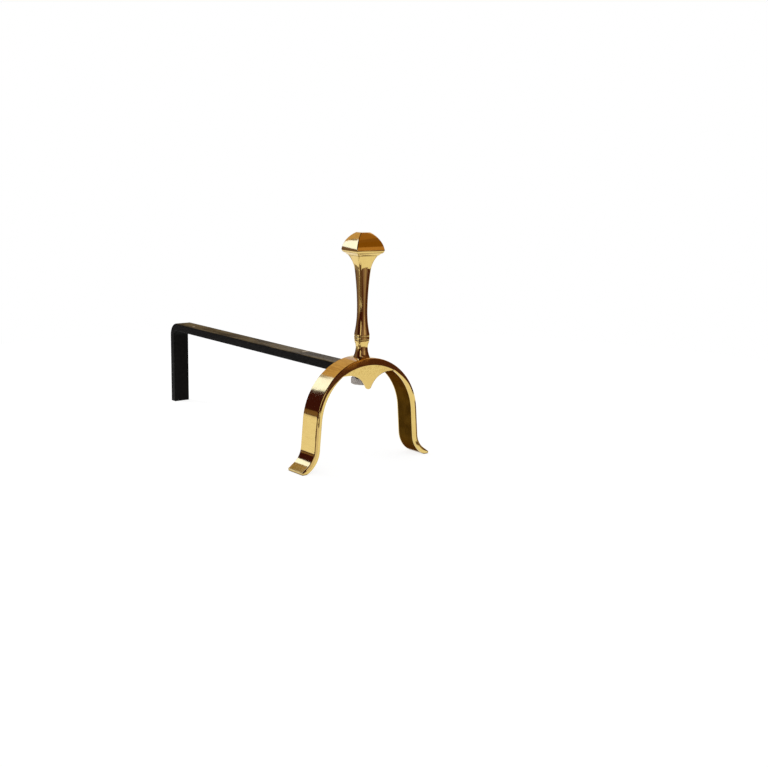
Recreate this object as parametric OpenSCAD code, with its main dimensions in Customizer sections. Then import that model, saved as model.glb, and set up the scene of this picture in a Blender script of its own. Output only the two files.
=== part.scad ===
// Andiron: a polished cast brass arch and square post, clamped by one
// tie rod to a black iron log bar whose rear end is bent down as a leg.

/* [Arch] */
// Outer radius of the crown
arch_r = 82; // [78:0.5:90]
// Height of the crown's centre above the hearth
arch_centre_z = 59.6; // [58:0.2:64]
// Radial thickness of the strap
strap_t = 7.3; // [6:0.1:8.5]
// Front to back depth of the strap
strap_d = 32.3; // [30:0.1:40]
// Outward lean of the legs, in degrees
leg_lean = 6; // [3:0.5:8]
// Bevel along the outer front edge
outer_bevel = 2.5; // [1:0.1:3]
// Bevel at the top of the crown, where it is widest
crown_bevel = 8; // [5:0.5:9]
// Bevel along the inner front edge
inner_bevel = 1.8; // [0.8:0.1:2.2]

/* [Feet] */
// Length of the straight part of each leg
leg_len = 38.9; // [38:0.1:40]
// Radius of the hollow above each toe
instep_r = 27; // [24:0.5:30]
// Radius of the sole under each toe
sole_r = 34.5; // [33.5:0.1:36]
// Slope of the toe, in degrees below level
toe_slope = 36; // [30:1:40]
// Half width over the toes
toe_x = 105.3; // [103:0.1:108]

/* [Apron] */
// Height of the lowest point of the apron
apron_tip_z = 101.8; // [100:0.1:106]
// Radius of each scallop
scallop_r = 32; // [30:0.5:33]
// Distance of each scallop's centre from the middle
scallop_x = 33; // [32.5:0.1:34]
// Height of the scallops' centres
scallop_z = 90; // [88:0.5:92]
// Thickness of the apron
apron_t = 3.5; // [2.5:0.1:3.8]

/* [Post] */
// Height of the top of the finial
post_top = 305; // [300:1:312]
// Turn of the post about its axis, in degrees
post_turn = -7; // [-45:1:45]
// Half width of the finial's rim
rim_h = 20.7; // [19.5:0.1:22]
// Height of the rim
rim_z = 283; // [282:0.5:284.5]
// Radius of the finial's four curved faces
dome_r = 36.7; // [35:0.1:40]
// Half width of the shaft at its waist
waist_h = 5.7; // [5.2:0.05:6.5]
// Height of the waist
waist_z = 206; // [200:1:212]
// Half width of the collar
collar_h = 7.9; // [7.4:0.1:8.6]
// Width of the bevelled arrises
arris = 1.2; // [0.6:0.1:1.6]

/* [Log bar] */
// Width of the bar
bar_w = 26; // [24:0.5:32]
// Thickness of the bar
bar_t = 12.4; // [11:0.1:13]
// Height of the top of the bar
bar_top = 129.6; // [128.5:0.1:131]
// Distance from the post's axis to the back of the rear leg
bar_reach = 498.7; // [380:1:620]
// Outer radius of the bend
bend_r = 21; // [19:0.5:30]
// Radius of the bar's rolled edges
bar_edge = 1.2; // [0.5:0.1:2]

/* [Fixings] */
// Diameter of the tie rod in the post
rod_d = 6; // [5:0.5:6.5]
// Diameter of the threaded shank
shank_d = 12; // [10:0.5:12]
// Width of the nut across its flats
nut_af = 23.8; // [22:0.2:24]
// Thickness of the nut
nut_t = 9.5; // [8:0.5:10]
// Outer diameter of the washer
washer_d = 24; // [22:0.5:24]
// Thickness of the washer
washer_t = 1.6; // [1:0.1:2]

/* [Hidden] */
$fn = 96;

brass = "#d9a441";
iron = "#26231f";
steel = "#b5b5b2";

// Middle of the object along Y, so that the origin is central on the hearth
cap_reach = rim_h * (cos(post_turn) + abs(sin(post_turn)));
y_mid = (bar_reach - cap_reach) / 2;

front_y = -strap_d / 2;
inner_r = arch_r - strap_t;
crown_z = arch_centre_z + arch_r;
back_ease = 0.8;
rod_gap = 0.15;
big = 300;

// Heights of the joints in the post
base_top = 165.2;
collar_top = 170.2;
shaft_top = 275.6;
shank_top = 144.5;

module placed() {
    translate([0, -y_mid, 0]) children();
}

module both_sides() {
    children();
    mirror([1, 0, 0]) children();
}

module both_sides_2d() {
    children();
    mirror([1, 0]) children();
}

// ---- Arch: one strap section swept round the crown and down the legs ----

// Section of the strap, drawn smaller all round by an inset: x runs from the
// inner face (-strap_t) to the outer face (0), y from the back to the front
module strap_section(inset = 0) {
    half = strap_d / 2 - inset;
    inner = -strap_t + inset;
    outer = -inset;
    polygon([
        [inner + back_ease, -half], [outer - back_ease, -half],
        [outer, -half + back_ease], [outer, half - outer_bevel],
        [outer - outer_bevel, half], [inner + inner_bevel, half],
        [inner, half - inner_bevel], [inner, -half + back_ease]]);
}

// A round solid along Y, with its front and back edges bevelled
module round_core(centre, r, bevel, half = strap_d / 2) {
    translate([centre[0], 0, centre[1]]) rotate([90, 0, 0])
        rotate_extrude() polygon([
            [0, -half], [r - back_ease, -half], [r, -half + back_ease],
            [r, half - bevel], [r - bevel, half], [0, half]]);
}

// A round cut along Y, which opens out by a bevel at the front and the back
module round_cut(centre, r, bevel, half = strap_d / 2) {
    translate([centre[0], 0, centre[1]]) rotate([90, 0, 0])
        rotate_extrude() polygon([
            [0, -half - 1], [r + back_ease + 1, -half - 1], [r, -half + back_ease],
            [r, half - bevel], [r + bevel + 1, half + 1], [0, half + 1]]);
}

module crown_ring() {
    translate([0, 0, arch_centre_z]) rotate([90, -leg_lean, 0])
        rotate_extrude(angle = 180 - 2 * leg_lean)
            translate([arch_r, 0]) strap_section();
}

// The crown's bevel is a cone whose axis lies a little below the crown's own,
// so that the bevel is widest at the top and dies into the legs' bevel
crown_drop = (crown_bevel - outer_bevel) / (1 - sin(leg_lean));
cone_r = arch_r + crown_drop - crown_bevel;

module crown_cone() {
    translate([0, 0, arch_centre_z - crown_drop]) rotate([90, 0, 0])
        translate([0, 0, front_y])
            cylinder(h = strap_d, r1 = cone_r + strap_d, r2 = cone_r);
}

// The leg's line: it leaves the crown's circle as a tangent, and ends where
// the instep and the sole begin, on one line square to the leg
out = [cos(leg_lean), sin(leg_lean)];
down = [sin(leg_lean), -cos(leg_lean)];
hip = [0, arch_centre_z] + arch_r * out;
ankle = hip + leg_len * down;
instep = ankle + instep_r * out;
sole = ankle + (sole_r - strap_t) * out;

// Each length laps into the one above it, and is a hair smaller, so that
// their faces never lie in one plane
lap = 1;
hair = 0.03;

module straight_leg() {
    top = hip - lap * down;
    translate([top[0], 0, top[1]]) rotate([180, -leg_lean, 0])
        linear_extrude(leg_len + lap) strap_section(hair);
}

// The toe: a straight top that follows the instep, and a square end
toe_start = instep - (instep_r + 2 * hair) * [sin(toe_slope), cos(toe_slope)];
toe_tip = [toe_x, toe_start[1] - (toe_x - toe_start[0]) * tan(toe_slope)];
toe_end = [toe_tip[0] - toe_tip[1] * tan(toe_slope), 0];

module foot() {
    top = ankle - lap * down;
    half = strap_d / 2 - 2 * hair;
    difference() {
        intersection() {
            rotate([90, 0, 0]) linear_extrude(2 * half, center = true)
                polygon([top + 2 * out, top - (strap_t + 2) * out,
                         [hip[0] - strap_t, 0], toe_end, toe_tip, toe_start]);
            round_core(sole, sole_r - 2 * hair, inner_bevel, half);
        }
        round_cut(instep, instep_r + 2 * hair, outer_bevel, half);
        edge_bevel(toe_start, toe_slope, big, outer_bevel, half);
    }
}

// Cut that bevels a straight front edge. The edge starts at a point, runs down
// by an angle, and has the metal below it
module edge_bevel(start, angle, length, bevel, half) {
    translate([start[0], -half, start[1]]) rotate([0, angle + 90, 0])
        linear_extrude(length)
            polygon([[bevel + 0.1, -0.1], [-1, bevel + 1], [-1, -1], [bevel + 0.1, -1]]);
}

// Rounded tip that touches both scallops
tip_rise = apron_tip_z - scallop_z;
tip_r = (scallop_x * scallop_x + tip_rise * tip_rise - scallop_r * scallop_r)
        / (2 * (scallop_r - tip_rise));
apron_x = sqrt(pow(inner_r, 2) - pow(scallop_z + scallop_r - arch_centre_z, 2));

// Outline of the apron: it fills the crown down to the scallops and the tip
module apron_outline() {
    difference() {
        intersection() {
            translate([0, arch_centre_z]) circle(inner_r + strap_t / 2);
            translate([-apron_x - 4, apron_tip_z + tip_r / 2])
                square([2 * apron_x + 8, crown_z]);
        }
        both_sides_2d() {
            translate([scallop_x, scallop_z]) circle(scallop_r);
            translate([scallop_x, 0]) square([apron_x, scallop_z + scallop_r]);
        }
    }
    translate([0, apron_tip_z + tip_r]) circle(tip_r);
}

module apron() {
    difference() {
        translate([0, front_y + apron_t, 0]) rotate([90, 0, 0])
            linear_extrude(apron_t) apron_outline();
        both_sides() round_cut([scallop_x, scallop_z], scallop_r, inner_bevel);
    }
}

// Flat pad under the crown on which the bar bears
pad_w = bar_w + 8;

module seat_pad() {
    intersection() {
        translate([-pad_w / 2, front_y + 1, bar_top])
            cube([pad_w, strap_d - 1, crown_z]);
        translate([0, 0, arch_centre_z]) rotate([90, 0, 0])
            cylinder(h = strap_d, r = inner_r + strap_t / 2, center = true);
    }
}

module arch_legs() {
    color(brass) placed() difference() {
        union() {
            intersection() {
                union() {
                    crown_ring();
                    apron();
                    seat_pad();
                }
                crown_cone();
            }
            both_sides() {
                straight_leg();
                foot();
            }
        }
        cylinder(h = big, d = shank_d + 2 * rod_gap);
    }
}

// ---- Post: square pieces, each the meeting of two equal outlines ----

// A square solid: the same outline seen from the front and from the side
module square_form() {
    intersection() {
        rotate([90, 0, 0]) linear_extrude(4 * rim_h, center = true) children();
        rotate([90, 0, 90]) linear_extrude(4 * rim_h, center = true) children();
    }
}

// A square solid with bevelled arrises: the second outline is seen from the
// corners, where a square is wider by the root of two
module bevelled_form() {
    intersection() {
        square_form() children(0);
        rotate(45) square_form() children(1);
    }
}

// A piece of the post, bored for the tie rod
module on_post() {
    color(brass) placed() rotate(post_turn) difference() {
        children();
        cylinder(h = shaft_top + 13, d = rod_d + 2 * rod_gap);
    }
}

// Outline that is symmetrical about the post's axis, from its right-hand side
module outline(side) {
    last = len(side) - 1;
    polygon(concat(side, [for (i = [last:-1:0]) [-side[i][0], side[i][1]]]));
}

// Half of a slot that hollows the outline's side by an arc. The arc is
// upright at height z, where the side is h from the axis
module hollow(h, z, r, low, high) {
    both_sides_2d() intersection() {
        translate([h + r, z]) circle(r, $fn = 720);
        translate([0, low]) square([3 * rim_h, high - low]);
    }
}

// The finial: four convex faces rise to a small flat top
dome_z = 276.7;
dome_x = rim_h - sqrt(pow(dome_r, 2) - pow(rim_z - dome_z, 2));

module dome_outline() {
    intersection() {
        translate([dome_x, dome_z]) circle(dome_r, $fn = 180);
        translate([-dome_x, dome_z]) circle(dome_r, $fn = 180);
        translate([-2 * rim_h, rim_z]) square([4 * rim_h, post_top - rim_z]);
    }
}

rim_lip = 1.2;
under_h = 12.6;

module cap_outline() {
    dome_outline();
    outline([[under_h, shaft_top], [rim_h - 4, rim_z - 4.8],
             [rim_h - 0.2, rim_z - rim_lip], [rim_h, rim_z], [rim_h, rim_z + 0.01]]);
}

module finial_cap() {
    on_post() square_form() cap_outline();
}

// The shaft: a long hollow above the waist, a short one under the finial,
// and a flare down to the foot
neck_z = 256;
long_r = 720;
neck_r = 55;
foot_r = 250;
lip_h = 2.6;

module shaft_outline(spread, cut) {
    long_slope = asin((neck_z - waist_z) / (long_r / spread));
    neck_h = waist_h * spread - cut + (long_r / spread) * (1 - cos(long_slope));
    r2 = neck_r / spread;
    difference() {
        translate([-2 * rim_h, collar_top])
            square([4 * rim_h, shaft_top - collar_top]);
        hollow(waist_h * spread - cut, waist_z, long_r / spread, waist_z, neck_z);
        hollow(neck_h - r2 * (1 - cos(long_slope)), neck_z - r2 * sin(long_slope),
               r2, neck_z, shaft_top + 1);
        hollow(waist_h * spread - cut, waist_z, foot_r / spread,
               collar_top + lip_h, waist_z);
        both_sides_2d() translate([collar_h * spread - cut, collar_top - 1])
            square([3 * rim_h, lip_h + 2]);
    }
}

module post_shaft() {
    on_post() bevelled_form() {
        shaft_outline(1, 0);
        shaft_outline(sqrt(2), arris / sqrt(2));
    }
}

// The collar: a flat square ring with its edges eased
ease = 0.7;

module ring_outline(h) {
    outline([[h - ease, base_top], [h, base_top + ease],
             [h, collar_top - ease], [h - ease, collar_top]]);
}

module post_collar() {
    on_post() bevelled_form() {
        ring_outline(collar_h);
        ring_outline(collar_h * sqrt(2) - arris / sqrt(2));
    }
}

// The base: a cove under the collar, then a flare down to the crown
cove_z = 158.5;
cove_h = 5.85;
cove_top = 162.6;
base_h = 8;

// Radius of an arc that starts upright and moves sideways by sag over a rise
function arc_radius(rise, sag) = (rise * rise + sag * sag) / (2 * sag);

module base_outline(spread, cut) {
    neck_side = cove_h * spread - cut;
    band_side = (collar_h - 0.4) * spread - cut;
    cove_r = arc_radius(cove_top - cove_z, band_side - neck_side);
    flare_r = arc_radius(cove_z - crown_z, (base_h - cove_h) * spread);
    widest = (base_h + 0.5) * spread;
    difference() {
        translate([-widest, crown_z - 2])
            square([2 * widest, base_top - crown_z + 2]);
        both_sides_2d() translate([band_side, cove_top])
            square([widest, base_top]);
        hollow(neck_side, cove_z, cove_r, cove_z, cove_top);
        hollow(neck_side, cove_z, flare_r, 0, cove_z);
    }
}

module post_base() {
    on_post() difference() {
        bevelled_form() {
            base_outline(1, 0);
            base_outline(sqrt(2), arris / sqrt(2));
        }
        rotate(-post_turn) translate([0, 0, arch_centre_z]) rotate([90, 0, 0])
            cylinder(h = 2 * strap_d, r = arch_r, center = true);
        cylinder(h = shank_top, d = shank_d + 2 * rod_gap);
    }
}

// ---- Log bar: flat bar with rolled edges, bent down at the rear ----

module bar_section() {
    for (x = [-1, 1], y = [-1, 1])
        translate([x * (bar_w / 2 - bar_edge), y * (bar_t / 2 - bar_edge)])
            circle(bar_edge, $fn = 24);
    square([bar_w - 2 * bar_edge, bar_t], center = true);
    square([bar_w, bar_t - 2 * bar_edge], center = true);
}

bar_front = front_y + apron_t + 0.6;
bend_mid = bend_r - bar_t / 2;

module log_bar() {
    color(iron) placed() difference() {
        union() {
            translate([0, bar_front, bar_top - bar_t / 2]) rotate([-90, 0, 0])
                linear_extrude(bar_reach - bend_r - bar_front) bar_section();
            translate([0, bar_reach - bend_r, bar_top - bend_r]) rotate([90, 0, 90])
                rotate_extrude(angle = 90) translate([bend_mid, 0]) rotate(90) bar_section();
            translate([0, bar_reach - bar_t / 2, 0])
                linear_extrude(bar_top - bend_r) bar_section();
        }
        cylinder(h = big, d = shank_d + 0.4);
    }
}

// ---- Fixings under the crown ----

nut_top = bar_top - bar_t - washer_t;

module tie_rod() {
    color(steel) placed() {
        translate([0, 0, shank_top]) cylinder(h = shaft_top + 13 - shank_top, d = rod_d);
        translate([0, 0, nut_top - nut_t - 2]) cylinder(h = shank_top - nut_top + nut_t + 2, d = shank_d);
    }
}

module washer() {
    color(steel) placed() translate([0, 0, nut_top]) difference() {
        cylinder(h = washer_t, d = washer_d);
        translate([0, 0, -1]) cylinder(h = washer_t + 2, d = shank_d + 0.6);
    }
}

// Hexagon with its lower corners turned to a cone
module hex_nut() {
    corner_r = nut_af / 2 / cos(30);
    color(steel) placed() translate([0, 0, nut_top - nut_t]) difference() {
        intersection() {
            cylinder(h = nut_t, r = corner_r, $fn = 6);
            rotate_extrude() polygon([[0, 0], [nut_af / 2 - 0.4, 0],
                [corner_r, 1.6], [corner_r, nut_t], [0, nut_t]]);
        }
        translate([0, 0, -1]) cylinder(h = nut_t + 2, d = shank_d + 0.1);
    }
}

arch_legs();
post_base();
post_collar();
post_shaft();
finial_cap();
log_bar();
tie_rod();
washer();
hex_nut();
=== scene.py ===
"""Andiron: polished brass arch and square post, clamped to a black iron log bar.

Sizes are real millimetres about the post's axis, with z up from the hearth.
mesh_object() turns them into the frame's metres.
"""
from math import acos, asin, atan2, cos, hypot, pi, radians, sin, sqrt, tan

import bmesh
import bpy
from mathutils import Matrix, Vector
from mathutils.geometry import tessellate_polygon


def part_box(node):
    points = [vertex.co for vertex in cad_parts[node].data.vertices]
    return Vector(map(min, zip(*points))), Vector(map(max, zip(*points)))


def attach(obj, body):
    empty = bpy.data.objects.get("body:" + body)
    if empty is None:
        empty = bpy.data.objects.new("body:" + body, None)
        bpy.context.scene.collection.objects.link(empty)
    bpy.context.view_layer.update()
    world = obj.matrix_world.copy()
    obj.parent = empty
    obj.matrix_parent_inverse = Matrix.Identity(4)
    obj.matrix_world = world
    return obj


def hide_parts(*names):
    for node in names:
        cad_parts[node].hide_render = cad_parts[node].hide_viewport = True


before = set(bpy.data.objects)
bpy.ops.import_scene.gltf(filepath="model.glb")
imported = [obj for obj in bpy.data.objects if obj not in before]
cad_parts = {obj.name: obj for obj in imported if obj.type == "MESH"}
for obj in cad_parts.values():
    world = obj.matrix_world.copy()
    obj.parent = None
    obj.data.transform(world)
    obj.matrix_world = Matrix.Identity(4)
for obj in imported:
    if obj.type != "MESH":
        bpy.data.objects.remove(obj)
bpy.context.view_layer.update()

MM = 0.001
CAP_LOW, CAP_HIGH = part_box("finial_cap")
AXIS_Y = (CAP_LOW.y + CAP_HIGH.y) / 2

# ---- Sizes, in millimetres and radians ----
# The crown's outer radius and the height of its centre; the strap, and how far it stands forward
ARCH_R, ARCH_Z = 82.6, 59.6
STRAP_T, STRAP_D, FORWARD = 7.9, 33.6, 0.7
FRONT_Y = -STRAP_D / 2 - FORWARD
LEAN = radians(4.5)
# Widths of the front bevels, the outer ones' depth as a share of that, the bevel at the back,
# and the edges' roundings
OUTER_BEVEL, CROWN_BEVEL, INNER_BEVEL = 3.4, 8.7, 1.0
BEVEL_SLOPE, BACK_EASE = 0.34, 0.8
EDGE_R, BACK_EDGE_R = 1.3, 0.6
# Legs and toes
LEG_LEN, INSTEP_R, SOLE_R = 36.7, 27, 34.5
TOE_SLOPE, TOE_X, END_LEAN, TOE_CORNER_R = radians(36), 105.3, radians(15), 0.7
# Apron: the right scallop's centre and radius, the tip's height, the thickness, and the fillet
# where it meets the crown. Behind it is a flat pad for the bar.
SCALLOP = (33, 90)
SCALLOP_R, TIP_Z, APRON_T, POCKET_R = 32, 101.2, 3.5, 6
PAD_HALF, PAD_EASE = 17, 1
# Log bar: its section, top face, reach behind the post's axis, outer bend, rounded edges, and
# the gap between it and the apron
BAR_W, BAR_T, BAR_TOP, BAR_REACH = 26, 12.4, 129.6, 498.7
BEND_R, BAR_EDGE, BAR_GAP = 21, 1.2, 0.6
# Over its last bit the rear leg narrows to these shares of its width and thickness
REAR_EASE, REAR_SHARES = 0.5, (0.985, 0.97)
# Post: its turn on the screw, the tie rod's bore, and the levels of its joints
POST_TURN = radians(-7)
BORE_R = 3.15
CROWN_Z = ARCH_Z + ARCH_R
BASE_TOP, COLLAR_TOP, CAP_Z = 164.9, 169.5, 275.6
# Half widths of the square pieces end in _H. Collar and the shaft's lip share one.
COLLAR_H, LIP_RISE = 8.5, 2.6
# Base: the cove's narrowest level, its top, the flared foot, how deep that sinks into the
# crown, and how far the top band stands back from the collar
COVE_Z, COVE_H, COVE_TOP, BASE_H, BASE_SINK, BAND_IN = 156, 6.9, 162.4, 9.2, 0.15, 0.4
# Shaft: the waist, the level where the neck flares out, the hollows' radii, and how high above
# the lip the foot's hollow starts
WAIST_H, WAIST_Z, NECK_Z = 6.1, 203, 256
LONG_R, NECK_R, FOOT_R, FOOT_RISE = 560, 45, 200, 6
# Finial: its rim, the dome's radius and centre, the flat top and how far below it the dome's
# own curve ends; the seat, and the rolled underside's radius and extent
RIM_H, RIM_Z, DOME_R, DOME_Z, POST_TOP, TOP_EASE = 21.1, 283, 32, 278.4, 305, 1.2
SEAT_H, UNDER_R, ROLL_END = 15.4, 5.5, radians(70)
# How far the upright corners of the square pieces are rounded, and their faces crowned
CORNER_R, FACE_CROWN = 2.7, 0.3
CAP_CORNER_R, CAP_CROWN = 0.9, 0.35
# Roundings of the level edges: finial's seat and top, shaft's foot, joints, base's band
SEAT_R, TOP_R, LIP_R, JOINT_R, BAND_R = 0.4, 1.0, 0.7, 0.8, 0.6
# Fixings: the rod's shank, its thin upper part and how far that goes up into the finial, the
# washer, and the nut across its flats. The nut's chamfer begins NUT_FACE inside the flats, and
# its two arrises are eased by (radius, z).
SHANK_R, SHANK_TOP, ROD_R, ROD_STUB, ROD_EASE = 6, 144.5, 3, 0.7, 0.5
ROD_REACH, BLIND_GAP = 13, 0.2
ROD_TOP = CAP_Z + ROD_REACH
WASHER_T, WASHER_R, WASHER_BORE, WASHER_EASE = 1.6, 12, 6.3, 0.3
NUT_T, NUT_AF, NUT_GAP, NUT_FACE = 9.5, 23.8, 0.05, 0.4
NUT_CHAMFER, BORE_CHAMFER = radians(30), 1
FACE_EASE, FLAT_EASE = (0.2, 0.05), (0.1, 0.15)
NUT_TOP = BAR_TOP - BAR_T - WASHER_T


# ---- Mesh helpers ----
SIDE_SHARE = 0.45
# Length of the straight sides next to rounded edges, of which only the direction counts
SIDE_RUN = 4
SAME_POINT, WELD, SHORTEST_EDGE = 0.0001, 0.002, 0.0001
SHARP_ANGLE, NORMAL_WEIGHT = radians(32), 60


def polar(centre, radius, angle):
    """The place at a distance and an angle from a centre, in a plane."""
    return (centre[0] + radius * cos(angle), centre[1] + radius * sin(angle))


def steps(start, end, count):
    """count + 1 even values from start to end."""
    return [start + (end - start) * i / count for i in range(count + 1)]


def rounded(points, radius, count=3):
    """The inner corners of an open line of points as arcs of count steps, without its two ends.

    An arc takes up no more than SIDE_SHARE of each side next to it.
    """
    line = []
    for before, corner, after in zip(points, points[1:], points[2:]):
        a = Vector(before) - Vector(corner)
        b = Vector(after) - Vector(corner)
        half = a.angle(b) / 2
        reach = min(radius / tan(half), SIDE_SHARE * a.length, SIDE_SHARE * b.length)
        r = reach * tan(half)
        centre = Vector(corner) + (a.normalized() + b.normalized()).normalized() * r / sin(half)
        first = Vector(corner) + a.normalized() * reach - centre
        last = Vector(corner) + b.normalized() * reach - centre
        turn = first.angle(last)
        for t in steps(0, 1, count):
            arm = (first * sin((1 - t) * turn) + last * sin(t * turn)) / sin(turn)
            line.append(tuple(centre + arm))
    return line


class Shell:
    """Collects points in millimetres and faces, and welds them into one mesh."""

    def __init__(self):
        self.points = []
        self.faces = []
        self.looks = []

    def row(self, points):
        """Adds points and returns their numbers."""
        start = len(self.points)
        self.points += points
        return list(range(start, start + len(points)))

    def face(self, corners, look=0):
        self.faces.append(corners)
        self.looks.append(look)

    def strip(self, rows, look=0, closed=False):
        """Quads between rows of points. Closed joins the last row to the first."""
        ids = [self.row(r) for r in rows]
        pairs = list(zip(ids, ids[1:])) + ([(ids[-1], ids[0])] if closed else [])
        for a, b in pairs:
            for i in range(len(a) - 1):
                self.face([a[i], a[i + 1], b[i + 1], b[i]], look)

    def sheet(self, ring, look=0):
        """Triangles that fill a flat ring of points."""
        clear = [p for p, q in zip(ring, ring[1:] + ring[:1])
                 if (Vector(p) - Vector(q)).length > SAME_POINT]
        ids = self.row(clear)
        for corners in tessellate_polygon([[Vector(p) for p in clear]]):
            self.face([ids[c] for c in corners], look)


def mesh_object(name, shell, materials):
    """The welded mesh as an object in the row frame, with edges sharp past SHARP_ANGLE."""
    mesh = bpy.data.meshes.new(name)
    points = [(x * MM, y * MM + AXIS_Y, z * MM) for x, y, z in shell.points]
    mesh.from_pydata(points, [], shell.faces)
    for material in materials:
        mesh.materials.append(material)
    mesh.polygons.foreach_set("material_index", shell.looks)
    mesh.polygons.foreach_set("use_smooth", [True] * len(shell.faces))
    work = bmesh.new()
    work.from_mesh(mesh)
    bmesh.ops.remove_doubles(work, verts=work.verts, dist=WELD * MM)
    bmesh.ops.dissolve_degenerate(work, dist=SHORTEST_EDGE * MM, edges=work.edges)
    bmesh.ops.recalc_face_normals(work, faces=work.faces)
    for edge in work.edges:
        edge.smooth = len(edge.link_faces) == 2 and edge.calc_face_angle(0) < SHARP_ANGLE
    work.to_mesh(mesh)
    work.free()
    item = bpy.data.objects.new(name, mesh)
    bpy.context.scene.collection.objects.link(item)
    weigh = item.modifiers.new("even_normals", "WEIGHTED_NORMAL")
    weigh.keep_sharp = True
    weigh.weight = NORMAL_WEIGHT
    return item


def show(item, node):
    """Puts a visible piece in the place of a solid."""
    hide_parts(node)
    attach(item, "root")


# ---- Materials ----
MIX_AMOUNT, MIX_FIRST, MIX_SECOND, MIX_RESULT = 0, 6, 7, 2  # a colour mix node's sockets
SHIFT_WAY = (1, 1.7, 0.6)
AO_SAMPLES, AO_CORNER, AO_OPEN = 8, 0.55, 0.95

BRASS, BRASS_WARM = (0.755, 0.56, 0.19), (0.66, 0.43, 0.13)
# The darkest colour is for joints and corners: polish residue and painted shade
TARNISH, BRUSHED, GRIME_AND_SHADE = (0.4, 0.22, 0.06), (0.45, 0.27, 0.06), (0.1, 0.045, 0.012)
CAST_LIGHT, CAST_DARK, CAST_SAND = (0.12, 0.064, 0.012), (0.07, 0.037, 0.007), (0.2, 0.11, 0.03)
CAST_TINT = (0.4, 0.26, 0.06, 1)
IRON_DARK, IRON_LIGHT = (0.002, 0.0018, 0.0015), (0.006, 0.005, 0.004)
# The top face's wear, painted lighter as a sheen, and the bare places, painted bright as glints
IRON_WORN_SHEEN, IRON_BARE_GLINT = (0.19, 0.14, 0.065), (0.6, 0.5, 0.36)
STEEL_LIGHT, STEEL_DARK, STEEL_GRIME_AND_SHADE = (0.55, 0.53, 0.5), (0.46, 0.44, 0.4), (0.05, 0.04, 0.03)
# Heights at which the brass's stains set in and, above the crown, fade
STAIN_RISE, STAIN_FADE = (112, 132), (142.5, 143.5)
# How far below the bar's top face its wear and painted sheen start, and are full
WEAR_SHEEN_START, WEAR_SHEEN_FULL = 1.1, 0.2
IRON_SHEEN = 0.07
# The bar's two bare places, worn through and painted bright as glints: from x, to x, from y, to
# y. Their edges are ragged and soft.
BARE_GLINT_PLACES = ((-8, -4, 431, 436), (1, 13, 136, 142))
BARE_RAGGED, BARE_SOFT = 9.0, 0.7


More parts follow.
